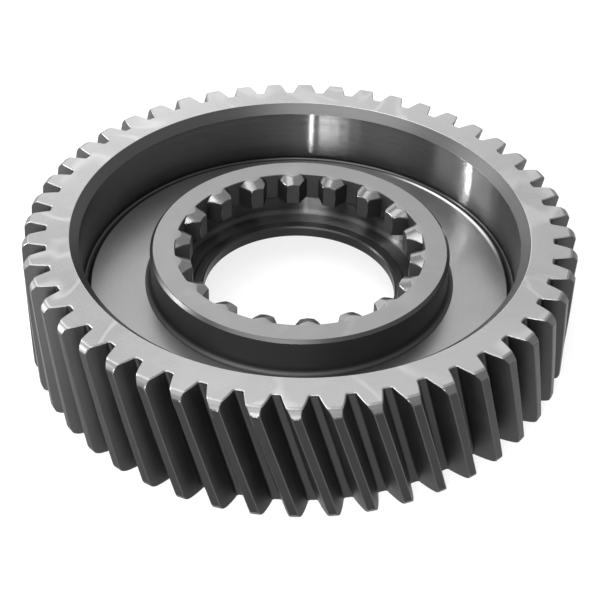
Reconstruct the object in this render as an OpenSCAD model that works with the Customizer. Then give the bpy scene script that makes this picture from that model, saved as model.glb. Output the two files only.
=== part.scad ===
// Helical reduction gear with a recessed web and internal clutch teeth.
// One piece of steel. Z is the gear's axis, and z = 0 is the bottom face of
// the rim. A clutch tooth is centred on the +X axis.

/* [Gear teeth] */
// Number of helical teeth round the rim
teeth_n = 48; // [44:1:60]
// Normal module, the size of the tooth
module_n = 4.5; // [4:0.25:6]
// Pressure angle in the normal section, in degrees
pressure_angle = 20; // [17:0.5:22]
// Helix angle at the pitch circle, in degrees, left-hand
helix_angle = 16; // [0:0.5:25]
// Height of a tooth above the pitch circle, in modules
addendum = 1; // [0.8:0.05:1.1]
// Depth of a tooth space below the pitch circle, in modules
dedendum = 1.25; // [1.1:0.05:1.4]
// Radius of the fillet at the foot of a tooth
root_fillet = 1.2; // [0.6:0.1:1.5]
// Angle from the clutch tooth on +X to a gear tooth at the top face, in degrees
tooth_timing = -2.3; // [-7.5:0.1:7.5]
// Height of the rim and its teeth
gear_h = 56; // [48:1:75]
// Chamfer on the upper ends of the tooth tips
tip_chamfer = 3; // [1:0.25:4]
// Chamfer on the lower ends of the tooth tips
lower_tip_chamfer = 1.75; // [0.5:0.25:4]

/* [Rim and web] */
// Thickness of the rim from the tooth roots to the recess wall
rim_wall = 13.4; // [9:0.2:18]
// Chamfer at the mouth of the upper recess
mouth_chamfer = 3.9; // [1:0.1:5]
// Depth of the upper recess, from the rim's top face to the web
recess_depth = 27.5; // [22:0.5:34]
// Thickness of the web
web_t = 9.9; // [7:0.1:13]
// Width of the turned groove at the foot of the rim wall
groove_w = 3.2; // [2.5:0.1:6]
// Depth of that groove below the web
groove_d = 1.5; // [0.5:0.1:2.4]
// Radius of the edge between the groove and the web
groove_edge = 1.1; // [0.3:0.1:1.5]
// Chamfer at the mouth of the lower recess
lower_mouth_chamfer = 3; // [1:0.1:5]
// Fillet between the web and the wall of the lower recess
lower_fillet = 4; // [1:0.5:6]

/* [Hub] */
// Depth of the hub face below the rim's top face
hub_drop = 10.7; // [4:0.1:14]
// Wall of the hub outside the roots of the clutch teeth
hub_wall = 10.7; // [6:0.1:15]
// Chamfer on the outer edge of the hub face
hub_chamfer = 1.3; // [0.4:0.1:3]
// Fillet at the foot of the hub
hub_fillet = 2.2; // [0.5:0.1:4]

/* [Clutch teeth] */
// Number of internal clutch teeth
clutch_n = 18; // [12:1:20]
// Diameter across the roots of the clutch teeth
clutch_root_d = 106.7; // [102:0.1:116]
// Depth of a clutch tooth from root to tip
clutch_depth = 6.2; // [4.5:0.1:7]
// Width of a clutch tooth at its tip
clutch_tip_w = 5.9; // [4:0.1:7]
// Angle of each flank to the tooth's centre plane, in degrees
clutch_flank = 31; // [20:0.5:32]
// Length of the clutch teeth along the axis
clutch_len = 12; // [8:0.5:16]
// How far the face of the hub runs in along each tooth's ridge
ridge_flat = 1.9; // [0.5:0.1:2.5]
// Fall of the ridge from there to the tooth's tip
ridge_fall = 1.7; // [0.5:0.1:2.5]
// Fall of the pointed end from its ridge to the foot of a flank
point_fall = 3.6; // [2:0.1:5]

/* [Bore] */
// Diameter of the bore through the inner lip
bore_d = 83.4; // [74:0.2:88]
// Thickness of the inner lip
lip_t = 4.8; // [3:0.1:8]
// Width of the raised land round the bore
land_w = 4.2; // [2:0.1:6]
// Height of that land
land_h = 0.6; // [0.3:0.1:1.5]
// Chamfer at both ends of the bore
bore_chamfer = 0.6; // [0.2:0.1:1]
// Depth of the relief groove below the clutch teeth's roots
relief_step = 0.9; // [0.4:0.1:2]
// Fillet in the corner of the pocket under the clutch teeth
pocket_fillet = 2; // [0.5:0.1:3]

/* [Hidden] */

// Fineness of round forms, and steps along each kind of curve
round_fn = 180;
arc_steps = 4;
flank_steps = 4;
fillet_steps = 3;
helix_steps = 3;
point_steps = 3;
point_rows = 3;
// How far a cutter runs past the surface it cuts
over = 1.3;
// How far the back of a clutch tooth is set into the hub behind its root
root_sink = 1.6;
// Height of the root surface left below the clutch teeth
relief_lead = 0.5;
// Share of the pointed end's fall that is straight, and the power of the rest
point_straight = 0.25;
point_curve = 3;

// Gear geometry in the transverse section
module_t = module_n / cos(helix_angle);
pitch_r = teeth_n * module_t / 2;
angle_t = atan(tan(pressure_angle) / cos(helix_angle));
base_r = pitch_r * cos(angle_t);
tip_r = pitch_r + addendum * module_n;
root_r = pitch_r - dedendum * module_n;
pitch_step = 360 / teeth_n;
twist = gear_h * tan(helix_angle) / pitch_r * 180 / PI;

// Heights and radii of the turned form
recess_r = root_r - rim_wall;
web_z = gear_h - recess_depth;
under_z = web_z - web_t;
hub_z = gear_h - hub_drop;
clutch_root_r = clutch_root_d / 2;
clutch_tip_r = clutch_root_r - clutch_depth;
clutch_z = hub_z - clutch_len;
relief_z = clutch_z - relief_lead;
ridge_r = clutch_root_r - ridge_flat;
hub_r = clutch_root_r + hub_wall;
relief_r = clutch_root_r + relief_step;
bore_r = bore_d / 2;
land_r = bore_r + land_w;
pocket_z = under_z + lip_t;
land_z = pocket_z + land_h;

// Involute function of a pressure angle, in degrees
function inv(a) = tan(a) * 180 / PI - a;

// Half the angle of a tooth at radius r, in degrees
function half_tooth(r) =
    pitch_step / 4 + inv(angle_t) - inv(acos(base_r / r));

// Half the angle of a tooth space at radius r, in degrees
function half_space(r) = pitch_step / 2 - half_tooth(r);

function polar(r, a) = [r * cos(a), r * sin(a)];

// Points of an arc round a centre, from angle a0 to a1
function arc(centre, r, a0, a1, steps) = [
    for (i = [0:steps]) centre + polar(r, a0 + (a1 - a0) * i / steps)
];

function mirrored(points) = [
    for (i = [len(points) - 1:-1:0]) [points[i][0], -points[i][1]]
];

// The fillet touches the involute at radius fillet_r and the root circle.
// Its centre lies root_fillet above the root circle.
fillet_s = sqrt(pow(root_r + root_fillet, 2) - pow(base_r, 2)) - root_fillet;
fillet_r = sqrt(pow(fillet_s, 2) + pow(base_r, 2));
fillet_slope = acos(base_r / fillet_r);
fillet_turn = atan2(
    root_fillet * cos(fillet_slope),
    fillet_r + root_fillet * sin(fillet_slope)
);
fillet_a = half_space(fillet_r) - fillet_turn;
fillet_centre = polar(root_r + root_fillet, fillet_a);

// One side of a tooth space, from the root circle out past the tips
function space_side() = concat(
    arc(
        fillet_centre,
        root_fillet,
        180 + fillet_a,
        90 + half_space(fillet_r) - fillet_slope,
        fillet_steps
    ),
    [
        for (i = [1:flank_steps])
            let (r = fillet_r + (tip_r + over - fillet_r) * i / flank_steps)
            polar(r, half_space(r))
    ]
);

space_outline = concat(mirrored(space_side()), space_side());

// Triangles between two rings of n points, and over the two end rings
function side_faces(n, rings) = [
    for (k = [0:rings - 2])
        for (i = [0:n - 1])
            for (half = [0, 1])
                let (a = k * n + i)
                let (b = k * n + (i + 1) % n)
                half == 0 ? [a, b, a + n] : [b, b + n, a + n]
];

// Triangles over an end ring whose second half mirrors its first
function end_faces(n, first, up) = [
    for (i = [0:n / 2 - 2])
        for (half = [0, 1])
            let (a = first + i)
            let (b = first + n - 1 - i)
            let (t = half == 0 ? [a, b, a + 1] : [b, b - 1, a + 1])
            up ? [t[2], t[1], t[0]] : t
];

// Cutter for one helical tooth space, turned left-hand about the axis
module tooth_space() {
    n = len(space_outline);
    z0 = -over;
    z1 = gear_h + over;
    points = [
        for (k = [0:helix_steps])
            let (z = z0 + (z1 - z0) * k / helix_steps)
            let (turn = twist * (1 - z / gear_h))
            for (p = space_outline)
                [
                    p[0] * cos(turn) - p[1] * sin(turn),
                    p[0] * sin(turn) + p[1] * cos(turn),
                    z
                ]
    ];
    polyhedron(
        points,
        concat(
            end_faces(n, 0, false),
            side_faces(n, helix_steps + 1),
            end_faces(n, helix_steps * n, true)
        )
    );
}

// Section of the turned blank, from its bottom outer corner round to the bore.
// The hub stands a little high, because its face is turned with the clutch teeth.
blank_section = concat(
    [
        [tip_r - lower_tip_chamfer, 0],
        [tip_r, lower_tip_chamfer],
        [tip_r, gear_h - tip_chamfer],
        [tip_r - tip_chamfer, gear_h],
        [recess_r + mouth_chamfer, gear_h],
        [recess_r, gear_h - mouth_chamfer]
    ],
    arc([recess_r - groove_d, web_z], groove_d, 0, -90, arc_steps),
    arc([recess_r - groove_w - groove_edge, web_z - groove_edge], groove_edge, 45, 90, arc_steps),
    arc([hub_r + hub_fillet, web_z + hub_fillet], hub_fillet, 270, 180, arc_steps),
    [
        [hub_r, hub_z - hub_chamfer],
        [hub_r - hub_chamfer - over, hub_z + over],
        [clutch_root_r, hub_z + over],
        [clutch_root_r, relief_z],
        [relief_r, relief_z - relief_step]
    ],
    arc([relief_r - pocket_fillet, pocket_z + pocket_fillet], pocket_fillet, 0, -90, arc_steps),
    [
        [land_r + land_h, pocket_z],
        [land_r, land_z],
        [bore_r + bore_chamfer, land_z],
        [bore_r, land_z - bore_chamfer],
        [bore_r, under_z + bore_chamfer],
        [bore_r + bore_chamfer, under_z]
    ],
    arc([recess_r - lower_fillet, under_z - lower_fillet], lower_fillet, 90, 0, arc_steps),
    [
        [recess_r, lower_mouth_chamfer],
        [recess_r + lower_mouth_chamfer, 0]
    ]
);

module blank() {
    rotate_extrude($fn = round_fn)
        polygon(blank_section);
}

module tooth_spaces() {
    for (i = [0:teeth_n - 1])
        rotate(tooth_timing + (i + 0.5) * pitch_step)
            tooth_space();
}

// Half the width of a clutch tooth at radius r
function clutch_half_w(r) = clutch_tip_w / 2 + (r - clutch_tip_r) * tan(clutch_flank);

// Height of the pointed end at radius r and at the distance y from its ridge
function point_z(r, y) =
    let (t = abs(y) / clutch_half_w(clutch_root_r))
    hub_z
    + (r - ridge_r) * ridge_fall / (ridge_r - clutch_tip_r)
    - point_fall * (point_straight * t + (1 - point_straight) * pow(t, point_curve));

// One row of points across a clutch tooth's pointed end, at radius r
function point_row(r) = [
    for (i = [-point_steps:point_steps])
        let (y = clutch_half_w(r) * i / point_steps)
        [sqrt(r * r - y * y), y, point_z(r, y)]
];

// Triangles of a sheet of rows with m points each, split alike on both sides
function sheet(first, rows, m, up) = [
    for (k = [0:rows - 2])
        for (i = [0:m - 2])
            for (half = [0, 1])
                let (a = first + k * m + i)
                let (b = a + 1)
                let (c = a + m)
                let (d = c + 1)
                let (right = i >= (m - 1) / 2)
                let (t = right
                    ? (half == 0 ? [a, d, c] : [a, b, d])
                    : (half == 0 ? [a, b, c] : [b, d, c]))
                up ? t : [t[2], t[1], t[0]]
];

// An internal clutch tooth on +X, with its pointed end rising past the hub face
module clutch_tooth() {
    depth = clutch_depth + root_sink;
    rows = point_rows + 1;
    m = 2 * point_steps + 1;
    top = [for (k = [0:point_rows]) each point_row(clutch_tip_r + depth * k / point_rows)];
    bottom = [for (p = top) [p[0], p[1], clutch_z]];
    n = rows * m;
    rim = concat(
        [for (i = [0:m - 2]) [i, i + 1]],
        [for (k = [0:rows - 2]) [k * m + m - 1, (k + 1) * m + m - 1]],
        [for (i = [m - 1:-1:1]) [(rows - 1) * m + i, (rows - 1) * m + i - 1]],
        [for (k = [rows - 1:-1:1]) [k * m, (k - 1) * m]]
    );
    polyhedron(
        concat(top, bottom),
        concat(
            sheet(0, rows, m, true),
            sheet(n, rows, m, false),
            [for (e = rim) [e[0], e[1] + n, e[1]]],
            [for (e = rim) [e[0], e[0] + n, e[1] + n]]
        )
    );
}

module clutch_teeth() {
    for (i = [0:clutch_n - 1])
        rotate(i * 360 / clutch_n)
            clutch_tooth();
}

// What is turned off the blank and the clutch teeth above the hub face
module hub_facing() {
    translate([0, 0, hub_z])
        cylinder(h = gear_h, r = hub_r, $fn = round_fn);
}

module gear() {
    color("gainsboro")
        difference() {
            union() {
                blank();
                clutch_teeth();
            }
            hub_facing();
            tooth_spaces();
        }
}

gear();
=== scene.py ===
import cmath
import math

import bmesh
import bpy
import numpy as np
from mathutils import Matrix, Vector


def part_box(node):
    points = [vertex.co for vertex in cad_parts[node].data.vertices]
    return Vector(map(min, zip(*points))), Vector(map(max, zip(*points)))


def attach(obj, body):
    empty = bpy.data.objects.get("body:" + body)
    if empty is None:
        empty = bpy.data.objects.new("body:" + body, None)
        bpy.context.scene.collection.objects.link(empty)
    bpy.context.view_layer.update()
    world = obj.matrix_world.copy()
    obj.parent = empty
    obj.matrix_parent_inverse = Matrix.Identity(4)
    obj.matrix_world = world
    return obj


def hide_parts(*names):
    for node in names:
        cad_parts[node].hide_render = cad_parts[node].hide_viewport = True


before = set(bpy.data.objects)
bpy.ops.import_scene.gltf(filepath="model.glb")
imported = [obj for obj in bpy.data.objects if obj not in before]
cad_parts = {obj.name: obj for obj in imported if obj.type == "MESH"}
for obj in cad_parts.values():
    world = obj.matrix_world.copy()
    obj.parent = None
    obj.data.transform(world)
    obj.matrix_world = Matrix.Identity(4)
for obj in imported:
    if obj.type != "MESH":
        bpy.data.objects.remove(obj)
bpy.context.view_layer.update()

# Gear teeth. Lengths are in metres, and angles in radians where nothing else is said
TEETH = 48
MODULE = 0.0045
PRESSURE_ANGLE = math.radians(20)
HELIX_ANGLE = math.radians(16)
ADDENDUM = 1.0
DEDENDUM = 1.25
ROOT_FILLET = 0.0012
TOOTH_TIMING = math.radians(-2.3)
GEAR_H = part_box("gear")[1].z
TIP_CHAMFER = 0.003
LOWER_TIP_CHAMFER = 0.0022
CHAMFER_BULGE = 0.0003
LOWER_CHAMFER_BULGE = 0.0005

# Rim and web
RIM_WALL = 0.0134
MOUTH_CHAMFER = 0.0039
RECESS_DEPTH = 0.0275
WEB_T = 0.0099
GROOVE_W = 0.0032
GROOVE_D = 0.0015
GROOVE_WALL_ROUND = 0.8 * GROOVE_D
GROOVE_FLOOR_W = 1.35 * GROOVE_D
GROOVE_FLOOR_ROUND = 0.2 * GROOVE_D
GROOVE_EDGE = 0.0011
LOWER_MOUTH_CHAMFER = 0.003
LOWER_FILLET = 0.004

# Hub and clutch teeth
HUB_DROP = 0.0107
HUB_WALL = 0.0107
HUB_CHAMFER = 0.0013
HUB_FILLET = 0.0022
CLUTCH_TEETH = 18
CLUTCH_ROOT_R = 0.05335
CLUTCH_DEPTH = 0.0062
CLUTCH_TIP_W = 0.0059
CLUTCH_FLANK = math.radians(31)
CLUTCH_LEN = 0.012

# The clutch teeth's pointed ends. The ridge leaves the hub face RIDGE_FLAT inside the root and
# falls to the tip. The sides fall away from it, a share straight and the rest ever more steeply
RIDGE_FLAT = 0.0019
RIDGE_FALL = 0.0017
POINT_FALL = 0.0036
POINT_STRAIGHT = 0.25

# Bore, raised land, pocket and relief
BORE_R = 0.0417
LIP_T = 0.0048
LAND_W = 0.0042
LAND_H = 0.0006
BORE_CHAMFER = 0.0006
RELIEF_LEAD = 0.0005
RELIEF_STEP = 0.0009
POCKET_FILLET = 0.002

# Painted highlight: the stretch of the groove's inner edge that is painted pale and rough, as angles
# round the gear, with the width of the painted band on the web beside it
PAINTED_HIGHLIGHT_FROM = math.radians(34)
PAINTED_HIGHLIGHT_TO = math.radians(52)
PAINTED_HIGHLIGHT_FADE = math.radians(24)
PAINTED_HIGHLIGHT_BAND = 0.0009
PAINTED_HIGHLIGHT_GREY = 0.85
PAINTED_HIGHLIGHT_ROUGH = 0.85

# Broken edges: round the ends of the gear teeth, along their tips, on turned corners,
# on the finer ones below the clutch teeth, and on the clutch teeth
OUTLINE_BREAK = 0.00045
TIP_BREAK = 0.00028
EDGE_BREAK = 0.0003
FINE_BREAK = EDGE_BREAK / 2
CLUTCH_BREAK = 0.00022

# Steps along each stretch of a gear tooth, and round the turned parts. A rounding may take its
# steps longer by the slack, which is a share of a step
ROOT_STEPS = 2
FILLET_STEPS = 5
FLANK_STEPS = 7
LAND_STEPS = 2
HELIX_STEPS = 11
CHAMFER_STEPS = 4
ARC_STEP = math.radians(15)
ARC_SLACK = 0.01
LEAST_ARC_STEPS = 2
TURNED_STEPS = 432

# Rows of points over a clutch tooth's end, columns over each of the two parts of half its width,
# and columns over the gap beside it
POINT_ROWS = 6
POINT_COLUMNS = 3
LAND_COLUMNS = 4

# Distance to the extra points beside a large rounding, which keep the shading of flat parts flat
SUPPORT = 0.0004

# Samples in the two searches for where a clutch tooth's end meets the hub face, and tolerances
SHARE_SAMPLES = 1001
RIDGE_SAMPLES = 401
ROUNDING_ERROR = 1e-9
WELD_DISTANCE = 2e-6

# Derived sizes
COS_45 = math.sqrt(0.5)
MODULE_T = MODULE / math.cos(HELIX_ANGLE)
PITCH_R = TEETH * MODULE_T / 2
SLOPE_T = math.atan(math.tan(PRESSURE_ANGLE) / math.cos(HELIX_ANGLE))
BASE_R = PITCH_R * math.cos(SLOPE_T)
TIP_R = PITCH_R + ADDENDUM * MODULE
ROOT_R = PITCH_R - DEDENDUM * MODULE
PITCH = 2 * math.pi / TEETH
TWIST = GEAR_H * math.tan(HELIX_ANGLE) / PITCH_R
RECESS_R = ROOT_R - RIM_WALL
WEB_Z = GEAR_H - RECESS_DEPTH
UNDER_Z = WEB_Z - WEB_T
HUB_Z = GEAR_H - HUB_DROP
HUB_R = CLUTCH_ROOT_R + HUB_WALL
CLUTCH_TIP_R = CLUTCH_ROOT_R - CLUTCH_DEPTH
CLUTCH_Z = HUB_Z - CLUTCH_LEN
CLUTCH_PITCH = 2 * math.pi / CLUTCH_TEETH
RIDGE_R = CLUTCH_ROOT_R - RIDGE_FLAT
RIDGE_SLOPE = RIDGE_FALL / (RIDGE_R - CLUTCH_TIP_R)
RELIEF_R = CLUTCH_ROOT_R + RELIEF_STEP
RELIEF_Z = CLUTCH_Z - RELIEF_LEAD
ROOT_END_Z = RELIEF_Z + RELIEF_LEAD / 2
LAND_R = BORE_R + LAND_W
POCKET_Z = UNDER_Z + LIP_T
LAND_Z = POCKET_Z + LAND_H

# Plain rings on the flat faces, where the columns of points change in number: within the gear
# teeth, round the clutch teeth, and round the bore, where the inner columns end just before it
FACE_RING_INSET = 0.0022
HUB_RING_OFFSET = 0.0016
UNDER_RING_OFFSET = 0.004
UNDER_RING_GAP = 0.0015
FACE_RING_R = ROOT_R - FACE_RING_INSET
HUB_RING_R = CLUTCH_ROOT_R + HUB_RING_OFFSET
UNDER_RING_R = BORE_R + UNDER_RING_OFFSET
UNDER_END_R = UNDER_RING_R - UNDER_RING_GAP

# Looks, with those of the broken edges first
EDGES = ["edge", "outline", "tip_edge", "groove_edge", "dull_edge"]
LOOKS = EDGES + [
    "face", "chamfer", "tip", "flank", "mouth", "wall", "groove", "web", "hub_wall",
    "hub_chamfer", "hub_face", "point", "clutch", "pocket", "land", "bore", "under",
]

# The look of a turned edge, by the surface beside it. The others, in the recesses and the bore, are
# dark with painted shade
EDGE_LOOKS = {"face": "edge", "under": "edge", "web": "groove_edge"}

# The bends that shade smoothly, between surfaces and along the broken edges
SMOOTH_BELOW = math.radians(35)
EDGE_SMOOTH_BELOW = math.radians(60)


class Skin:
    """Collects patches of faces, each with the name of its look."""

    def __init__(self):
        self.points = []
        self.faces = []
        self.looks = []

    def add(self, points, faces, looks):
        start = len(self.points)
        self.points.extend(tuple(p) for p in points)
        self.faces.extend([start + i for i in face] for face in faces)
        self.looks.extend(looks)

    def grid(self, rows, looks, closed=False):
        """Quads between rows of points.

        The look is one for all, or there is one for each column, each row or each face.
        """
        rows = np.asarray(rows, float)
        count, width = rows.shape[:2]
        columns = width if closed else width - 1
        if isinstance(looks, str):
            looks = np.full((count - 1, columns), looks)
        looks = np.broadcast_to(np.asarray(looks), (count - 1, columns))
        faces = []
        for k in range(count - 1):
            low = k * width
            high = low + width
            for i in range(columns):
                j = (i + 1) % width
                faces.append((low + i, low + j, high + j, high + i))
        self.add(rows.reshape(-1, 3), faces, looks.ravel().tolist())

    def merge(self, one, two, look):
        """Triangles between two closed rings whose points differ in number, by their angles."""
        one = np.asarray(one, float)
        two = np.asarray(two, float)
        start = math.atan2(one[0][1], one[0][0])
        turns = (np.arctan2(two[:, 1], two[:, 0]) - start) % (2 * math.pi)
        two = np.roll(two, -int(np.argmin(turns)), axis=0)
        angles = [closed_angles(one, start), closed_angles(two, start)]
        n = len(one)
        m = len(two)
        faces = []
        i = 0
        j = 0
        while i < n or j < m:
            if j == m or (i < n and angles[0][i + 1] <= angles[1][j + 1]):
                faces.append((i % n, (i + 1) % n, n + j % m))
                i += 1
            else:
                faces.append((i % n, n + (j + 1) % m, n + j % m))
                j += 1
        self.add(np.concatenate([one, two]), faces, [look] * len(faces))


def closed_angles(ring, start):
    """The angles of a ring's points from start on, and a whole turn at the end."""
    turns = (np.arctan2(ring[:, 1], ring[:, 0]) - start) % (2 * math.pi)
    if turns[0] > math.pi:
        turns[0] = 0.0
    return list(turns) + [2 * math.pi]


def lift(ring, z):
    """Points in space from complex numbers in the plane, at the height z."""
    ring = np.asarray(ring, complex)
    return np.stack([ring.real, ring.imag, np.broadcast_to(z, ring.shape)], axis=-1)


def polar(r, angle):
    return r * np.exp(1j * np.asarray(angle))


def involute(angle):
    return np.tan(angle) - angle


def half_space(r):
    """Half the angle of the gap between two gear teeth at radius r."""
    return PITCH / 4 - involute(SLOPE_T) + involute(np.arccos(BASE_R / r))


def root_bend():
    """The fillet at the foot of a tooth: centre, first and last angle, radius where it ends."""
    reach = math.sqrt((ROOT_R + ROOT_FILLET) ** 2 - BASE_R ** 2) - ROOT_FILLET
    end_r = math.hypot(reach, BASE_R)
    slope = math.acos(BASE_R / end_r)
    turn = math.atan2(ROOT_FILLET * math.cos(slope), end_r + ROOT_FILLET * math.sin(slope))
    middle = float(half_space(end_r)) - turn
    last = math.pi / 2 + float(half_space(end_r)) - slope
    return polar(ROOT_R + ROOT_FILLET, middle), math.pi + middle, last, end_r


def gap_side(cap):
    """From the middle of a gap to the middle of the next tooth, which is cut off at the radius cap."""
    centre, first, last, end_r = root_bend()
    root = polar(ROOT_R, np.linspace(0, first - math.pi, ROOT_STEPS + 1))[:-1]
    bend = centre + ROOT_FILLET * np.exp(1j * np.linspace(first, last, FILLET_STEPS + 1))
    radii = np.linspace(end_r, cap - TIP_BREAK, FLANK_STEPS + 1)[1:]
    corner = float(half_space(cap)) + TIP_BREAK / cap
    land = polar(cap, np.linspace(corner, PITCH / 2, LAND_STEPS + 1))
    return np.concatenate([root, bend, polar(radii, half_space(radii)), land])


def inset(ring, distance):
    """A closed outline that runs counter-clockwise, moved into the material."""
    along = np.roll(ring, -1) - ring
    after = -1j * along / np.abs(along)
    before = np.roll(after, 1)
    return ring - distance * (before + after) / (1 + (before * np.conj(after)).real)


def toothed_ring(z, cap, moved=0.0):
    """The outline of all gear teeth at the height z, one row of points for each tooth."""
    side = gap_side(cap)
    gap = np.concatenate([np.conj(side[:0:-1]), side[:-1]])
    turns = TOOTH_TIMING + (np.arange(TEETH) + 0.5) * PITCH + TWIST * (1 - z / GEAR_H)
    ring = (np.exp(1j * turns)[:, None] * gap[None, :]).ravel()
    return lift(inset(ring, moved) if moved else ring, z)


def tooth_looks(tip_look):
    """The look of each column of faces round a tooth, from one tip's middle to the next."""
    flank_steps = ROOT_STEPS + FILLET_STEPS + FLANK_STEPS
    side = ["flank"] * flank_steps + ["tip_edge"] + [tip_look] * LAND_STEPS
    return (side[::-1] + side) * TEETH


def chamfer_levels(low_z, low_r, high_z, slope, bulge):
    """Heights and tip radii over a tip chamfer that bulges in its middle.

    It widens upwards for slope 1 and narrows for -1.
    """
    rise = high_z - low_z
    levels = []
    for k in range(CHAMFER_STEPS + 1):
        t = k / CHAMFER_STEPS
        out = 4 * t * (1 - t) * bulge * COS_45
        levels.append((low_z + rise * t - slope * out, low_r + slope * rise * t + out, 0.0))
    return levels


def tooth_levels():
    """Height, tip radius and inset of each ring of points, from the bottom face to the top."""
    part = (1 - COS_45) * OUTLINE_BREAK
    low = TIP_R - LOWER_TIP_CHAMFER
    high = TIP_R - TIP_CHAMFER
    levels = [(0.0, low, OUTLINE_BREAK), (part, low + part, part)]
    lower_end = LOWER_TIP_CHAMFER - TIP_BREAK
    levels += chamfer_levels(OUTLINE_BREAK, low + OUTLINE_BREAK, lower_end, 1, LOWER_CHAMFER_BULGE)
    first = LOWER_TIP_CHAMFER + TIP_BREAK
    last = GEAR_H - TIP_CHAMFER - TIP_BREAK
    levels += [(z, TIP_R, 0.0) for z in np.linspace(first, last, HELIX_STEPS + 1)]
    start = last + 2 * TIP_BREAK
    levels += chamfer_levels(start, TIP_R - TIP_BREAK, GEAR_H - OUTLINE_BREAK, -1, CHAMFER_BULGE)
    return levels + [(GEAR_H - part, high + part, part), (GEAR_H, high, OUTLINE_BREAK)]


def level_looks():
    """The looks of the faces between those rings, a row for each step up."""
    broken = ["outline"] * len(tooth_looks("tip"))
    chamfer = [tooth_looks("chamfer")] * CHAMFER_STEPS
    tip_edge = [tooth_looks("tip_edge")]
    tips = [tooth_looks("tip")] * HELIX_STEPS
    return [broken, broken] + chamfer + tip_edge + tips + tip_edge + chamfer + [broken, broken]


def add_gear_teeth(skin):
    """The flanks, tips and tip chamfers, and the broken edges at both faces."""
    rings = [toothed_ring(*level) for level in tooth_levels()]
    skin.grid(rings, level_looks(), closed=True)
    add_tooth_faces(skin, rings[-1], "face")
    add_tooth_faces(skin, rings[0], "under")


def add_tooth_faces(skin, ring, look):
    """The flat ends of the teeth, and the ring that joins them to the rim.

    Rungs cross each tooth from its foot to the last step of its flank, and one face ends it.
    """
    teeth = ring.reshape(TEETH, -1, 3)
    middle = teeth.shape[1] // 2
    rungs = FILLET_STEPS + FLANK_STEPS - 1
    for i in range(TEETH):
        after = teeth[(i + 1) % TEETH]
        left = [teeth[i][middle + j] for j in range(ROOT_STEPS, middle)]
        right = [after[middle - j] for j in range(ROOT_STEPS, middle)]
        skin.grid([[left[j], right[j]] for j in range(rungs + 1)], look)
        tip = left[rungs:] + [after[0]] + right[rungs:][::-1]
        skin.add(tip, [range(len(tip))], [look])
    valley = teeth[:, middle - ROOT_STEPS:middle + ROOT_STEPS + 1].reshape(-1, 3)
    skin.merge(plain_ring(FACE_RING_R, ring[0][2]), valley, look)


def turned_angles():
    return np.arange(TURNED_STEPS) * 2 * math.pi / TURNED_STEPS


def plain_ring(r, z):
    return lift(polar(r, turned_angles()), z)


def unit(z):
    return z / abs(z)


def is_broken_edge(corner):
    """A small rounding is a broken edge, with a look of its own."""
    return corner[2] <= GROOVE_EDGE


def rounding(before, corner, after):
    """The points that round one corner of a section, as complex numbers."""
    p = complex(*corner[:2])
    back = unit(complex(*before[:2]) - p)
    on = unit(complex(*after[:2]) - p)
    turn = math.pi - abs(cmath.phase(on / back))
    radius = corner[2]
    centre = p + unit(back + on) * radius / math.cos(turn / 2)
    start = p + back * radius * math.tan(turn / 2) - centre
    sweep = cmath.phase((p + on * radius * math.tan(turn / 2) - centre) / start)
    steps = max(LEAST_ARC_STEPS, math.ceil(abs(sweep) / ARC_STEP - ARC_SLACK))
    bend = [centre + start * cmath.exp(1j * sweep * k / steps) for k in range(steps + 1)]
    if is_broken_edge(corner):
        return bend
    return [bend[0] + back * SUPPORT] + bend + [bend[-1] + on * SUPPORT]


def rounded(corners):
    """A section's line through corners of (radius, height, rounding, look of what follows).

    Gives the points as complex numbers, and the look of each stretch between them.
    """
    line = [complex(*corners[0][:2])]
    looks = []
    for before, corner, after in zip(corners, corners[1:], corners[2:]):
        bend = rounding(before, corner, after)
        look = corner[3]
        if is_broken_edge(corner):
            look = EDGE_LOOKS.get(corner[3], EDGE_LOOKS.get(before[3], "dull_edge"))
        line += bend
        looks += [before[3]] + [look] * (len(bend) - 1)
    line.append(complex(*corners[-1][:2]))
    looks.append(corners[-2][3])
    return line, looks


def add_turned(skin, corners, angles):
    """A turned surface from its section."""
    line, looks = rounded(corners)
    rings = [lift(polar(p.real, angles), p.imag) for p in line]
    skin.grid(rings, np.array(looks)[:, None], closed=True)


def add_upper_side(skin):
    """The rim's face, the recess wall, its groove, the web and the outside of the hub."""
    groove_z = WEB_Z - GROOVE_D
    corners = [
        (FACE_RING_R, GEAR_H, 0, "face"),
        (RECESS_R + MOUTH_CHAMFER, GEAR_H, EDGE_BREAK, "mouth"),
        (RECESS_R, GEAR_H - MOUTH_CHAMFER, EDGE_BREAK, "wall"),
        (RECESS_R, groove_z, GROOVE_WALL_ROUND, "groove"),
        (RECESS_R - GROOVE_FLOOR_W, groove_z, GROOVE_FLOOR_ROUND, "groove"),
        (RECESS_R - GROOVE_W, WEB_Z, GROOVE_EDGE, "web"),
        (HUB_R, WEB_Z, HUB_FILLET, "hub_wall"),
        (HUB_R, HUB_Z - HUB_CHAMFER, EDGE_BREAK, "hub_chamfer"),
        (HUB_R - HUB_CHAMFER, HUB_Z, EDGE_BREAK, "hub_face"),
        (HUB_RING_R, HUB_Z, 0, "hub_face"),
    ]
    add_turned(skin, corners, turned_angles())


def add_lower_side(skin):
    """The underside of the web, the wall of the lower recess and the bottom face."""
    corners = [
        (UNDER_RING_R, UNDER_Z, 0, "under"),
        (RECESS_R, UNDER_Z, LOWER_FILLET, "under"),
        (RECESS_R, LOWER_MOUTH_CHAMFER, EDGE_BREAK, "under"),
        (RECESS_R + LOWER_MOUTH_CHAMFER, 0, EDGE_BREAK, "under"),
        (FACE_RING_R, 0, 0, "under"),
    ]
    add_turned(skin, corners, turned_angles())


def clutch_half_w(r):
    """Half the width of a clutch tooth at radius r."""
    return CLUTCH_TIP_W / 2 + (r - CLUTCH_TIP_R) * math.tan(CLUTCH_FLANK)


def narrowed(r):
    """That half width inside the tooth's broken edges."""
    return clutch_half_w(r) - CLUTCH_BREAK / math.cos(CLUTCH_FLANK)


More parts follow.
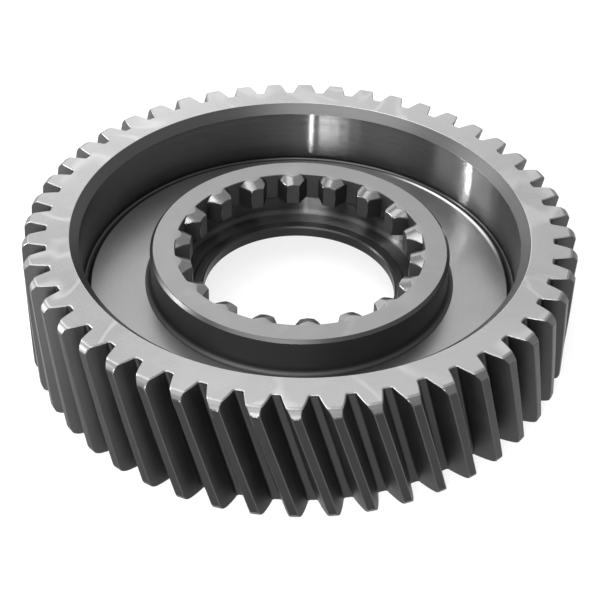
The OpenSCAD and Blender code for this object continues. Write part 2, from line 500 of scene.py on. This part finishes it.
def point_drop(y):
    """How far the pointed end has fallen at the distance y from its ridge."""
    t = np.abs(y) / clutch_half_w(CLUTCH_ROOT_R)
    return POINT_FALL * (POINT_STRAIGHT * t + (1 - POINT_STRAIGHT) * t ** 3)


def point_z(r, y):
    """Height of a clutch tooth's pointed end."""
    return HUB_Z + (r - RIDGE_R) * RIDGE_SLOPE - point_drop(y)


def tooth_point(r, y):
    """A point in the plane at radius r, at the distance y from a clutch tooth's middle."""
    return np.sqrt(r * r - y * y) + 1j * y


def clutch_shares():
    """Shares of a clutch tooth's half width, with the two at which its end meets the hub face."""
    t = np.linspace(0, 1, SHARE_SAMPLES)
    drop = point_drop(t * narrowed(CLUTCH_ROOT_R))
    face = float(np.interp((CLUTCH_ROOT_R - RIDGE_R) * RIDGE_SLOPE, drop, t))
    inner = np.linspace(0, face, POINT_COLUMNS + 1)
    outer = np.linspace(face, 1, POINT_COLUMNS + 1)
    half = np.concatenate([inner, outer[1:]])
    return np.concatenate([-half[:0:-1], half])


def ridge_limit(share):
    """Radius at which the pointed end comes up to the hub face, along a share of its width."""
    r = np.linspace(RIDGE_R, CLUTCH_ROOT_R, RIDGE_SAMPLES)
    rise = point_z(r, share * narrowed(r)) - HUB_Z
    return float(np.interp(0, rise, r))


def end_rows(shares, limits):
    """Radii and widths of the grid over a clutch tooth's end, from the hub to the tip."""
    rows = []
    for k in range(POINT_ROWS + 1):
        r = limits + (CLUTCH_TIP_R + CLUTCH_BREAK - limits) * k / POINT_ROWS
        rows.append((r, shares * narrowed(r)))
    return rows


def perimeter(rows):
    """The three free sides of such a grid, as one row of points from root to root."""
    left = [row[0] for row in rows]
    right = [row[-1] for row in rows]
    return np.array(left + list(rows[-1]) + right[::-1])


def outline(shares):
    """The tooth's own outline beside that row, at the foot of the broken edge."""
    r = np.linspace(CLUTCH_ROOT_R, CLUTCH_TIP_R + CLUTCH_BREAK, POINT_ROWS + 1)
    half_w = clutch_half_w(r)
    flank = lift(tooth_point(r, half_w), point_z(r, half_w) - CLUTCH_BREAK)
    y = shares * (clutch_half_w(CLUTCH_TIP_R) - CLUTCH_BREAK)
    tip = lift(tooth_point(CLUTCH_TIP_R, y), point_z(CLUTCH_TIP_R, y) - CLUTCH_BREAK)
    left = flank * [1, -1, 1]
    return np.concatenate([left, tip, flank[::-1]])


def add_clutch_tooth(skin, turn):
    """One internal clutch tooth: its pointed end, flanks, tip and flat lower end."""
    shares = clutch_shares()
    limits = np.array([ridge_limit(s) for s in shares])
    roots = np.full(len(shares), CLUTCH_ROOT_R)
    top = []
    for r, y in end_rows(shares, limits):
        top.append(lift(tooth_point(r, y), np.minimum(point_z(r, y), HUB_Z)))
    base = [lift(tooth_point(r, y), CLUTCH_Z) for r, y in end_rows(shares, roots)]
    upper = outline(shares)
    lower = upper.copy()
    lower[:, 2] = CLUTCH_Z + CLUTCH_BREAK
    flank = ["clutch"] * POINT_ROWS + ["dull_edge"]
    sides = flank + ["clutch"] * (len(shares) - 1) + flank[::-1]
    skin.grid(turned_by(top, turn), "point")
    skin.grid(turned_by([perimeter(top), upper], turn), "tip_edge")
    skin.grid(turned_by([upper, lower], turn), [sides])
    skin.grid(turned_by([lower, perimeter(base)], turn), "dull_edge")
    skin.grid(turned_by(base, turn), "clutch")


def turned_by(rows, turn):
    """Rows of points turned about the axis."""
    rows = np.asarray(rows, float)
    plane = (rows[..., 0] + 1j * rows[..., 1]) * cmath.exp(1j * turn)
    return np.stack([plane.real, plane.imag, rows[..., 2]], axis=-1)


def clutch_angles():
    """The columns of points behind one clutch tooth, as distances from its middle.

    Then the angles of these and of the columns over the gap after it.
    """
    inner = clutch_shares() * narrowed(CLUTCH_ROOT_R)
    edge = clutch_half_w(CLUTCH_ROOT_R)
    y = np.concatenate([[-edge], inner, [edge]])
    tooth = np.arcsin(y / CLUTCH_ROOT_R)
    gap = np.linspace(tooth[-1], CLUTCH_PITCH + tooth[0], LAND_COLUMNS + 1)[1:-1]
    return y, np.concatenate([tooth, gap])


def wall_ends(y):
    """Heights at which the wall behind a clutch tooth meets the tooth's pointed end."""
    side = point_z(CLUTCH_ROOT_R, y[-1]) - CLUTCH_BREAK
    middle = np.minimum(point_z(CLUTCH_ROOT_R, y[1:-1]), HUB_Z)
    return np.concatenate([[side], middle, [side]])


def hub_edge(angles, ends):
    """The upper and lower row of the hub face's broken inner edge, and the lower one's heights.

    Where a pointed end comes up to the hub face, both rows follow the line in which they meet.
    """
    gap = np.full(LAND_COLUMNS - 1, HUB_Z - EDGE_BREAK)
    heights = np.concatenate([np.maximum(ends, HUB_Z - EDGE_BREAK), gap])
    upper = polar(CLUTCH_ROOT_R + HUB_Z - heights, angles)
    lower = polar(CLUTCH_ROOT_R, angles)
    for i, share in enumerate(clutch_shares(), start=1):
        if ends[i] >= HUB_Z - ROUNDING_ERROR:
            r = ridge_limit(share)
            upper[i] = tooth_point(r, share * narrowed(r))
            lower[i] = upper[i]
    return upper, lower, heights


def add_clutch_roots(skin):
    """The edge of the hub face, and the wall over, under and between the clutch teeth."""
    y, angles = clutch_angles()
    ends = wall_ends(y)
    upper, lower, heights = hub_edge(angles, ends)
    behind = slice(0, len(y))
    root = polar(CLUTCH_ROOT_R, angles[behind])
    root_z = np.full(len(y), CLUTCH_Z)
    root_z[[0, -1]] = CLUTCH_Z + CLUTCH_BREAK
    gap = polar(CLUTCH_ROOT_R, np.append(angles[len(y) - 1:], CLUTCH_PITCH + angles[0]))
    gap_top = np.append(heights[len(y) - 1:], heights[0])
    over = [lift(lower[behind], heights[behind]), lift(lower[behind], ends)]
    below = [lift(root, root_z), lift(root, ROOT_END_Z)]
    between = [lift(gap, z) for z in (gap_top, ends[0], CLUTCH_Z + CLUTCH_BREAK, ROOT_END_Z)]
    edge = []
    for k in range(CLUTCH_TEETH):
        turn = k * CLUTCH_PITCH
        edge.append(turned_by([lift(upper, HUB_Z), lift(lower, heights)], turn))
        for rows in (over, below, between):
            skin.grid(turned_by(rows, turn), "clutch")
    joined = np.concatenate(edge, axis=1)
    skin.grid(joined, "tip_edge", closed=True)
    skin.merge(plain_ring(HUB_RING_R, HUB_Z), joined[0], "hub_face")


def all_clutch_angles():
    angles = clutch_angles()[1]
    return np.concatenate([angles + k * CLUTCH_PITCH for k in range(CLUTCH_TEETH)])


def add_inner_side(skin):
    """Below the clutch teeth: the relief, the pocket, the raised land and the bore."""
    corners = [
        (CLUTCH_ROOT_R, ROOT_END_Z, 0, "clutch"),
        (CLUTCH_ROOT_R, RELIEF_Z, FINE_BREAK, "pocket"),
        (RELIEF_R, RELIEF_Z - RELIEF_STEP, FINE_BREAK, "pocket"),
        (RELIEF_R, POCKET_Z, POCKET_FILLET, "pocket"),
        (LAND_R + LAND_H, POCKET_Z, FINE_BREAK, "land"),
        (LAND_R, LAND_Z, FINE_BREAK, "land"),
        (BORE_R + BORE_CHAMFER, LAND_Z, FINE_BREAK, "bore"),
        (BORE_R, LAND_Z - BORE_CHAMFER, FINE_BREAK, "bore"),
        (BORE_R, UNDER_Z + BORE_CHAMFER, FINE_BREAK, "bore"),
        (BORE_R + BORE_CHAMFER, UNDER_Z, FINE_BREAK, "under"),
        (UNDER_END_R, UNDER_Z, 0, "under"),
    ]
    angles = all_clutch_angles()
    add_turned(skin, corners, angles)
    last = lift(polar(UNDER_END_R, angles), UNDER_Z)
    skin.merge(plain_ring(UNDER_RING_R, UNDER_Z), last, "under")


def make_mesh(skin, name):
    """Welds the patches into one closed mesh.

    Bends stay sharp where they are too strong to be smooth, or where a broken edge meets a surface.
    """
    mesh = bpy.data.meshes.new(name)
    mesh.from_pydata(skin.points, [], skin.faces)
    mesh.polygons.foreach_set("material_index", [LOOKS.index(look) for look in skin.looks])
    mesh.polygons.foreach_set("use_smooth", [True] * len(mesh.polygons))
    work = bmesh.new()
    work.from_mesh(mesh)
    bmesh.ops.remove_doubles(work, verts=work.verts, dist=WELD_DISTANCE)
    bmesh.ops.recalc_face_normals(work, faces=work.faces)
    for edge in work.edges:
        one, two = [face.material_index < len(EDGES) for face in edge.link_faces]
        limit = EDGE_SMOOTH_BELOW if one else SMOOTH_BELOW
        edge.smooth = one == two and edge.calc_face_angle() < limit
    work.to_mesh(mesh)
    work.free()
    return mesh


def make_gear():
    skin = Skin()
    add_gear_teeth(skin)
    add_upper_side(skin)
    for k in range(CLUTCH_TEETH):
        add_clutch_tooth(skin, k * CLUTCH_PITCH)
    add_clutch_roots(skin)
    add_inner_side(skin)
    add_lower_side(skin)
    mesh = make_mesh(skin, "reduction_gear")
    piece = bpy.data.objects.new("reduction_gear", mesh)
    bpy.context.scene.collection.objects.link(piece)
    return piece


# Widths of machining marks and sizes of stains, and how much wider the broad marks are
FINE_MARK = 0.0003
POINT_MARK = 0.00035
TURNED_MARK = 0.0004
POLISHED_MARK = 0.001
BROADER = 7
STAIN = 0.02

# The grooves of polished walls: their width, and how far they tilt the surface, as a tangent
POLISH_W = 0.000002
POLISH_TILT = 0.65

# Wipe marks follow a noise's middle value, and show where a second noise is high: the size of
# both, the values of the first that a mark covers, those of the second over which the marks
# come in, and the size of the smears between them
WIPE_SIZE = 0.05
NOISE_MIDDLE = 0.5
WIPE_REACH = 0.05
WIPED_FROM = 0.42
WIPED_TO = 0.58
SMEAR_SIZE = 0.015

# Oil on the tooth flanks is drawn out along the teeth, so their length counts less
OIL_STRETCH = 0.15

# The turn of the anisotropy at which a surface spreads its reflections across its marks
ACROSS_MARKS = 0.25


class Steel:
    """A machined steel surface.

    Marks are added one kind at a time to its tone, roughness and height.
    """

    def __init__(self, look, grey, roughness, anisotropy=0.0):
        self.look = look
        self.material = bpy.data.materials.new(look)
        self.material.use_nodes = True
        self.tree = self.material.node_tree
        self.shader = self.tree.nodes["Principled BSDF"]
        self.shader.inputs["Metallic"].default_value = 1.0
        self.tone = grey
        self.roughness = roughness
        self.height = 0.0
        self.normal = None
        self.place = self.node("TexCoord").outputs["Object"]
        self.x, self.y, self.z = self.node("SeparateXYZ", {0: self.place}).outputs
        flat = self.vector("MULTIPLY", self.place, (1, 1, 0))
        self.r = self.node("VectorMath", {0: flat}, operation="LENGTH").outputs["Value"]
        if anisotropy:
            self.shader.inputs["Anisotropic"].default_value = anisotropy
            self.shader.inputs["Anisotropic Rotation"].default_value = ACROSS_MARKS
            tangent = self.node("Tangent", direction_type="RADIAL", axis="Z").outputs[0]
            self.tree.links.new(tangent, self.shader.inputs["Tangent"])

    def node(self, kind, inputs=None, **settings):
        """A new node, whose inputs are numbers or other nodes' outputs."""
        made = self.tree.nodes.new("ShaderNode" + kind)
        for name, value in settings.items():
            setattr(made, name, value)
        for key, value in (inputs or {}).items():
            if isinstance(value, bpy.types.NodeSocket):
                self.tree.links.new(value, made.inputs[key])
            else:
                made.inputs[key].default_value = value
        return made

    def math(self, operation, *values):
        return self.node("Math", dict(enumerate(values)), operation=operation).outputs[0]

    def vector(self, operation, *values):
        return self.node("VectorMath", dict(enumerate(values)), operation=operation).outputs[0]

    def angle(self):
        return self.math("ARCTAN2", self.y, self.x)

    def varied(self, value, texture, amount):
        """A value that swings by a share of itself with a texture between 0 and 1."""
        return self.math("MULTIPLY", value, self.math("MULTIPLY_ADD", texture, 2 * amount, 1 - amount))

    def mark(self, texture, tone=0.0, roughness=0.0, height=0.0):
        """Adds a texture's marks. The height is in metres."""
        if tone:
            self.tone = self.varied(self.tone, texture, tone)
        if roughness:
            self.roughness = self.varied(self.roughness, texture, roughness)
        if height:
            self.height = self.math("MULTIPLY_ADD", texture, height, self.height)

    def lines(self, across, width):
        """Parallel machining marks of about one width, across a distance in metres."""
        inputs = {"W": self.math("DIVIDE", across, width), "Scale": 1.0, "Detail": 2.0}
        return self.node("TexNoise", inputs, noise_dimensions="1D").outputs[0]

    def clouds(self, size, detail=3.0, distortion=0.0, place=None):
        """Soft patches of about one size."""
        inputs = {"Vector": place or self.place, "Scale": 1 / size}
        inputs.update({"Detail": detail, "Distortion": distortion})
        return self.node("TexNoise", inputs).outputs[0]

    def turned_to(self, mask, tone, roughness):
        """Another tone and roughness where the mask is 1."""
        self.tone = self.math("MULTIPLY_ADD", mask, self.math("SUBTRACT", tone, self.tone), self.tone)
        change = self.math("SUBTRACT", roughness, self.roughness)
        self.roughness = self.math("MULTIPLY_ADD", mask, change, self.roughness)

    def between(self, value, low, high):
        """0 at low and before it, 1 at high and beyond, and a soft step between."""
        inputs = {"Value": value, "From Min": low, "From Max": high}
        return self.node("MapRange", inputs, interpolation_type="SMOOTHSTEP").outputs["Result"]

    def grooved(self, width, reach):
        """Fine turned grooves, which spread reflections across them.

        Each groove tilts the surface its own way, as far as the reach.
        """
        groove = self.math("FLOOR", self.math("DIVIDE", self.math("ADD", self.r, self.z), width))
        tilt = self.node("TexWhiteNoise", {"W": groove}, noise_dimensions="1D").outputs["Value"]
        tilt = self.math("MULTIPLY_ADD", tilt, 2 * reach, -reach)
        normal = self.node("NewGeometry").outputs["Normal"]
        round_about = self.vector("NORMALIZE", self.vector("CROSS_PRODUCT", (0, 0, 1), self.place))
        across = self.vector("CROSS_PRODUCT", normal, round_about)
        moved = self.node("VectorMath", {0: across, "Scale": tilt}, operation="SCALE").outputs[0]
        self.normal = self.vector("NORMALIZE", self.vector("ADD", normal, moved))

    def finished(self):
        """Joins what was gathered to the shader, and gives the material."""
        colour = self.node("CombineColor", {0: self.tone, 1: self.tone, 2: self.tone}).outputs[0]
        self.tree.links.new(colour, self.shader.inputs["Base Color"])
        self.tree.links.new(self.roughness, self.shader.inputs["Roughness"])
        bump = {"Height": self.height, "Distance": 1.0, "Strength": 1.0}
        if self.normal:
            bump["Normal"] = self.normal
        self.tree.links.new(self.node("Bump", bump).outputs[0], self.shader.inputs["Normal"])
        return self.material


def turned_steel(look, grey, roughness, anisotropy, depth=1.0, width=TURNED_MARK):
    """Turned on a lathe: rings of fine and broad marks, and faint stains."""
    steel = Steel(look, grey, roughness, anisotropy)
    across = steel.math("ADD", steel.r, steel.z)
    fine = steel.lines(across, width)
    steel.mark(fine, tone=0.06 * depth, roughness=0.1 * depth, height=2e-6 * depth)
    broad = steel.lines(across, width * BROADER)
    steel.mark(broad, tone=0.05 * depth, roughness=0.05 * depth)
    steel.mark(steel.clouds(STAIN, distortion=1.0), tone=0.07, roughness=0.08)
    return steel


def polished_steel(look, grey, roughness):
    """A turned and polished bore: sharp round the gear, and spread out along its axis."""
    steel = turned_steel(look, grey, roughness, anisotropy=1.0, depth=0.1, width=POLISHED_MARK)
    steel.grooved(POLISH_W, POLISH_TILT)
    return steel


def ground_face(look, grey, roughness, anisotropy, wipes):
    """A fine face with wipe marks: pale curved wisps where it was cleaned by hand."""
    steel = turned_steel(look, grey, roughness, anisotropy, depth=0.15)
    bent = steel.clouds(WIPE_SIZE, detail=1.5, distortion=1.2)
    ridge = steel.math("ABSOLUTE", steel.math("SUBTRACT", bent, NOISE_MIDDLE))
    wisps = steel.math("SUBTRACT", 1.0, steel.between(ridge, 0.0, WIPE_REACH))
    patches = steel.between(steel.clouds(WIPE_SIZE), WIPED_FROM, WIPED_TO)
    steel.mark(steel.math("MULTIPLY", wisps, patches), tone=wipes, roughness=wipes)
    smears = steel.clouds(SMEAR_SIZE, detail=2.0, distortion=0.6)
    steel.mark(smears, tone=0.4 * wipes, roughness=0.5 * wipes)
    return steel


def flank_steel():
    """Hobbed and shaved tooth flanks: marks along the teeth, a thin film of oil, and painted shade in
    their dark grey.
    """
    # The dark grey is painted shade: the shade and dark reflections between the teeth
    steel = Steel("flank", grey=0.055, roughness=0.48)
    steel.mark(steel.lines(steel.r, FINE_MARK), tone=0.1, roughness=0.1, height=1.5e-6)
    lead = steel.math("MULTIPLY_ADD", steel.z, TWIST / GEAR_H, steel.angle())
    across = steel.math("MULTIPLY", lead, TIP_R)
    along = steel.math("MULTIPLY", steel.z, OIL_STRETCH)
    drawn_out = steel.node("CombineXYZ", {0: across, 1: steel.r, 2: along}).outputs[0]
    steel.mark(steel.clouds(size=0.003, place=drawn_out), tone=0.12, roughness=0.12)
    steel.mark(steel.clouds(STAIN, distortion=1.0), tone=0.12, roughness=0.1)
    return steel


def tip_steel():
    """The turned tips of the teeth, with faint marks round the gear, and a painted dark reflection in
    their grey.
    """
    # The dark grey is a painted dark reflection
    steel = Steel("tip", grey=0.037, roughness=0.4)
    steel.mark(steel.lines(steel.z, TURNED_MARK), tone=0.08, roughness=0.1, height=1e-6)
    steel.mark(steel.clouds(size=0.006, detail=4.0), tone=0.1, roughness=0.1)
    return steel


def broached_steel():
    """The flanks, tips and roots of the clutch teeth, with marks along the axis, and painted shade in
    their dark grey.
    """
    # The dark grey is painted shade, deep inside the hub
    steel = Steel("clutch", grey=0.05, roughness=0.5)
    across = steel.math("MULTIPLY", steel.angle(), CLUTCH_ROOT_R)
    steel.mark(steel.lines(across, FINE_MARK), tone=0.12, roughness=0.1, height=1.5e-6)
    steel.mark(steel.clouds(size=0.008, distortion=1.0), tone=0.15, roughness=0.1)
    return steel


def point_steel():
    """The pointed ends of the clutch teeth, milled one by one."""
    steel = Steel("point", grey=0.17, roughness=0.28)
    steel.mark(steel.lines(steel.r, POINT_MARK), tone=0.06, roughness=0.1, height=1e-6)
    steel.mark(steel.clouds(size=0.003), tone=0.08, roughness=0.12)
    return steel


def edge_steel(look, grey, roughness=0.28, nicks=3e-6):
    """Broken edges, with rubbed patches and small nicks, whose depth is in metres."""
    steel = Steel(look, grey, roughness)
    steel.mark(steel.clouds(size=0.004, detail=4.0), tone=0.12, roughness=0.15)
    steel.mark(steel.clouds(size=0.0012, detail=2.0), tone=0.08, height=nicks)
    return steel


def painted_highlight_stretch(steel):
    """1 along the stretch of the groove's inner edge that carries the painted highlight."""
    turn = steel.angle()
    start = steel.between(turn, PAINTED_HIGHLIGHT_FROM - PAINTED_HIGHLIGHT_FADE, PAINTED_HIGHLIGHT_FROM)
    return steel.math("MULTIPLY", start, steel.between(turn, PAINTED_HIGHLIGHT_TO + PAINTED_HIGHLIGHT_FADE, PAINTED_HIGHLIGHT_TO))


def groove_edge():
    """The groove's inner edge: dark with painted shade, and a painted highlight along one stretch."""
    steel = edge_steel("groove_edge", grey=0.05, roughness=0.45)
    # Paints a highlight, pale and rough, on one stretch of the edge
    steel.turned_to(painted_highlight_stretch(steel), PAINTED_HIGHLIGHT_GREY, PAINTED_HIGHLIGHT_ROUGH)
    return steel


def web_steel():
    """The turned web, with the painted highlight running on as a band along its outer edge."""
    steel = turned_steel("web", grey=0.335, roughness=0.3, anisotropy=0.3, depth=0.4)
    edge_r = RECESS_R - GROOVE_W - GROOVE_EDGE
    band = steel.between(steel.r, edge_r - PAINTED_HIGHLIGHT_BAND, edge_r)
    # Paints that highlight on along a band of the web beside the edge
    steel.turned_to(steel.math("MULTIPLY", band, painted_highlight_stretch(steel)), PAINTED_HIGHLIGHT_GREY, PAINTED_HIGHLIGHT_ROUGH)
    return steel


def turned_looks():
    """The finishes of the turned surfaces that have no other marks, most of them dark with painted
    shade.
    """
    return [
        # Painted shade: the tip chamfers, mouth, groove, hub wall, hub chamfer, land and bore are
        # darker than the faces
        turned_steel("chamfer", grey=0.125, roughness=0.42, anisotropy=0.0, depth=0.4),
        turned_steel("mouth", grey=0.065, roughness=0.34, anisotropy=0.2),
        turned_steel("groove", grey=0.05, roughness=0.3, anisotropy=0.8),
        turned_steel("hub_wall", grey=0.062, roughness=0.5, anisotropy=0.4, depth=0.6),
        turned_steel("hub_chamfer", grey=0.06, roughness=0.34, anisotropy=0.4, depth=0.5),
        turned_steel("land", grey=0.09, roughness=0.35, anisotropy=0.5),
        turned_steel("bore", grey=0.03, roughness=0.35, anisotropy=0.8),
        turned_steel("under", grey=0.35, roughness=0.36, anisotropy=0.5),
    ]


def edge_looks():
    """The finishes of the broken edges, those along the tips and in the recesses dark with painted
    shade.
    """
    return [
        edge_steel("edge", grey=0.42),
        groove_edge(),
        edge_steel("outline", grey=0.22, roughness=0.5, nicks=5e-7),
        # Painted shade: the edges along the tips, in the recesses and in the bore are dark
        edge_steel("tip_edge", grey=0.075),
        edge_steel("dull_edge", grey=0.06),
    ]


def make_steels():
    """The finish of each look, by its name."""
    steels = edge_looks() + turned_looks() + [
        ground_face("face", grey=0.42, roughness=0.3, anisotropy=0.4, wipes=0.09),
        ground_face("hub_face", grey=0.258, roughness=0.5, anisotropy=0.0, wipes=0.04),
        # Painted shade: the polished wall and pocket are dark, in the recess and under the clutch
        # teeth
        polished_steel("wall", grey=0.12, roughness=0.15),
        polished_steel("pocket", grey=0.07, roughness=0.3),
        tip_steel(),
        flank_steel(),
        web_steel(),
        point_steel(),
        broached_steel(),
    ]
    return {steel.look: steel for steel in steels}


def dress(piece):
    """Gives a piece the material of each look, in the order of its faces' numbers."""
    steels = make_steels()
    for look in LOOKS:
        piece.data.materials.append(steels[look].finished())


# Camera: the photograph's own view, fitted to the gear's circles and teeth. It looks at a point
# in the plane of the rim's face, before the turn about the axis
VIEW_TURN = math.radians(5.5)
VIEW_ELEVATION = math.radians(38.926)
VIEW_ROLL = math.radians(-1.3707)
VIEW_DISTANCE = 0.61105
VIEW_TARGET = (0.000566, -0.050926)
LENS = 92.32
SENSOR = 36.0
CLIP_START = 0.01
CLIP_END = 20.0


def make_camera():
    data = bpy.data.cameras.new("camera")
    data.lens = LENS
    data.sensor_width = SENSOR
    data.clip_start = CLIP_START
    data.clip_end = CLIP_END
    camera = bpy.data.objects.new("camera", data)
    bpy.context.scene.collection.objects.link(camera)
    bpy.context.scene.camera = camera
    forward = Vector((0, math.cos(VIEW_ELEVATION), -math.sin(VIEW_ELEVATION)))
    up = Vector((0, math.sin(VIEW_ELEVATION), math.cos(VIEW_ELEVATION)))
    right = Vector((1, 0, 0))
    across = right * math.cos(VIEW_ROLL) - up * math.sin(VIEW_ROLL)
    upright = right * math.sin(VIEW_ROLL) + up * math.cos(VIEW_ROLL)
    place = Vector((VIEW_TARGET[0], VIEW_TARGET[1], GEAR_H)) - forward * VIEW_DISTANCE
    frame_axes = Matrix((across, upright, -forward)).transposed().to_4x4()
    camera.matrix_world = Matrix.Rotation(VIEW_TURN, 4, "Z") @ Matrix.Translation(place) @ frame_axes


# Studio: the world's light on matt surfaces, and a floor just below the gear. A share of what
# the camera sees of the floor is plain white, and the rest is matt and takes the shadow
WORLD_LIGHT = 0.5
FLOOR_R = 3.0
FLOOR_SIDES = 96
FLOOR_GAP = 0.00002
FLOOR_GREY = 0.9
FLOOR_ROUGH = 0.9
FLOOR_WHITE = 1.1
FLOOR_SHARE = 0.7

# Lamps: name, azimuths and elevations that it covers in degrees, and brightness, where 1 is as
# bright as white paper. Azimuth 0 is to the right of the picture, and 90 is away from the camera
LAMP_DISTANCE = 2.0
LAMPS = [
    ("back_left", (96, 150), (6, 33), 1.8),
    ("back", (78, 96), (8, 33), 0.6),
    ("back_above", (60, 104), (44, 62), 0.5),
    ("above_left", (110, 200), (60, 84), 3.2),
    ("above_front", (200, 285), (42, 75), 4.6),
    ("front_strip", (264.9, 266.2), (6, 30), 110.0),
    ("front_band_1", (256, 261.5), (6, 30), 22.0),
    ("front_band_2", (251, 256), (6, 30), 18.0),
    ("front_band_3", (246, 251), (6, 30), 8.0),
    ("front_band_4", (240, 246), (6, 30), 2.0),
    ("left_soft", (179, 197), (8, 30), 4.5),
    ("left_strip", (174.2, 176.9), (6, 30), 150.0),
    ("left_glow_1", (158, 173), (8, 30), 12.0),
    ("left_glow_2", (152, 158), (8, 30), 6.0),
]


def shown_as_white(tree):
    """1 for what the camera sees directly, in gloss or through glass, and 0 for other light."""
    path = tree.nodes.new("ShaderNodeLightPath")
    ray = path.outputs["Is Camera Ray"]
    for name in ("Is Glossy Ray", "Is Transmission Ray"):
        both = tree.nodes.new("ShaderNodeMath")
        both.operation = "MAXIMUM"
        tree.links.new(ray, both.inputs[0])
        tree.links.new(path.outputs[name], both.inputs[1])
        ray = both.outputs[0]
    return ray


def scaled(tree, value, factor, offset=0.0):
    node = tree.nodes.new("ShaderNodeMath")
    node.operation = "MULTIPLY_ADD"
    node.inputs[1].default_value = factor
    node.inputs[2].default_value = offset
    tree.links.new(value, node.inputs[0])
    return node.outputs[0]


def make_world():
    """White where it is seen, and a softer light on matt surfaces."""
    world = bpy.data.worlds.new("studio")
    bpy.context.scene.world = world
    world.use_nodes = True
    tree = world.node_tree
    background = tree.nodes["Background"]
    background.inputs["Color"].default_value = (1, 1, 1, 1)
    strength = scaled(tree, shown_as_white(tree), 1 - WORLD_LIGHT, WORLD_LIGHT)
    tree.links.new(strength, background.inputs["Strength"])


def floor_material():
    """White where it is seen, and darker in the gear's shadow."""
    material = bpy.data.materials.new("floor")
    material.use_nodes = True
    tree = material.node_tree
    matt = tree.nodes["Principled BSDF"]
    matt.inputs["Base Color"].default_value = (FLOOR_GREY, FLOOR_GREY, FLOOR_GREY, 1)
    matt.inputs["Roughness"].default_value = FLOOR_ROUGH
    matt.inputs["Specular IOR Level"].default_value = 0.0
    white = tree.nodes.new("ShaderNodeEmission")
    white.inputs["Strength"].default_value = FLOOR_WHITE
    mix = tree.nodes.new("ShaderNodeMixShader")
    tree.links.new(scaled(tree, shown_as_white(tree), FLOOR_SHARE), mix.inputs[0])
    tree.links.new(matt.outputs[0], mix.inputs[1])
    tree.links.new(white.outputs[0], mix.inputs[2])
    tree.links.new(mix.outputs[0], tree.nodes["Material Output"].inputs["Surface"])
    return material


def make_floor():
    """A white floor that keeps a soft shadow."""
    mesh = bpy.data.meshes.new("floor")
    bm = bmesh.new()
    bmesh.ops.create_circle(bm, cap_ends=True, segments=FLOOR_SIDES, radius=FLOOR_R)
    bm.to_mesh(mesh)
    bm.free()
    mesh.materials.append(floor_material())
    floor = bpy.data.objects.new("floor", mesh)
    floor.location.z = -FLOOR_GAP
    bpy.context.scene.collection.objects.link(floor)


def lamp_side(angles):
    """How long a lamp's side is to cover the angles from the first to the second, in degrees."""
    return 2 * LAMP_DISTANCE * math.tan(math.radians(angles[1] - angles[0]) / 2)


def make_lamp(name, azimuths, elevations, brightness):
    """A lamp that fills a patch of the sky."""
    a = math.radians(sum(azimuths) / 2 + math.degrees(VIEW_TURN))
    e = math.radians(sum(elevations) / 2)
    width = lamp_side(azimuths) * math.cos(e)
    height = lamp_side(elevations)
    data = bpy.data.lights.new(name, "AREA")
    data.shape = "RECTANGLE"
    data.size = width
    data.size_y = height
    data.energy = brightness * math.pi * width * height
    lamp = bpy.data.objects.new(name, data)
    bpy.context.scene.collection.objects.link(lamp)
    away = Vector((math.cos(a) * math.cos(e), math.sin(a) * math.cos(e), math.sin(e)))
    lamp.location = away * LAMP_DISTANCE
    lamp.rotation_mode = "QUATERNION"
    lamp.rotation_quaternion = away.to_track_quat("Z", "Y")


make_camera()
make_world()
make_floor()
for lamp in LAMPS:
    make_lamp(*lamp)
gear = make_gear()
dress(gear)
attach(gear, "root")
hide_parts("gear")

bpy.context.scene.view_settings.view_transform = "Standard"
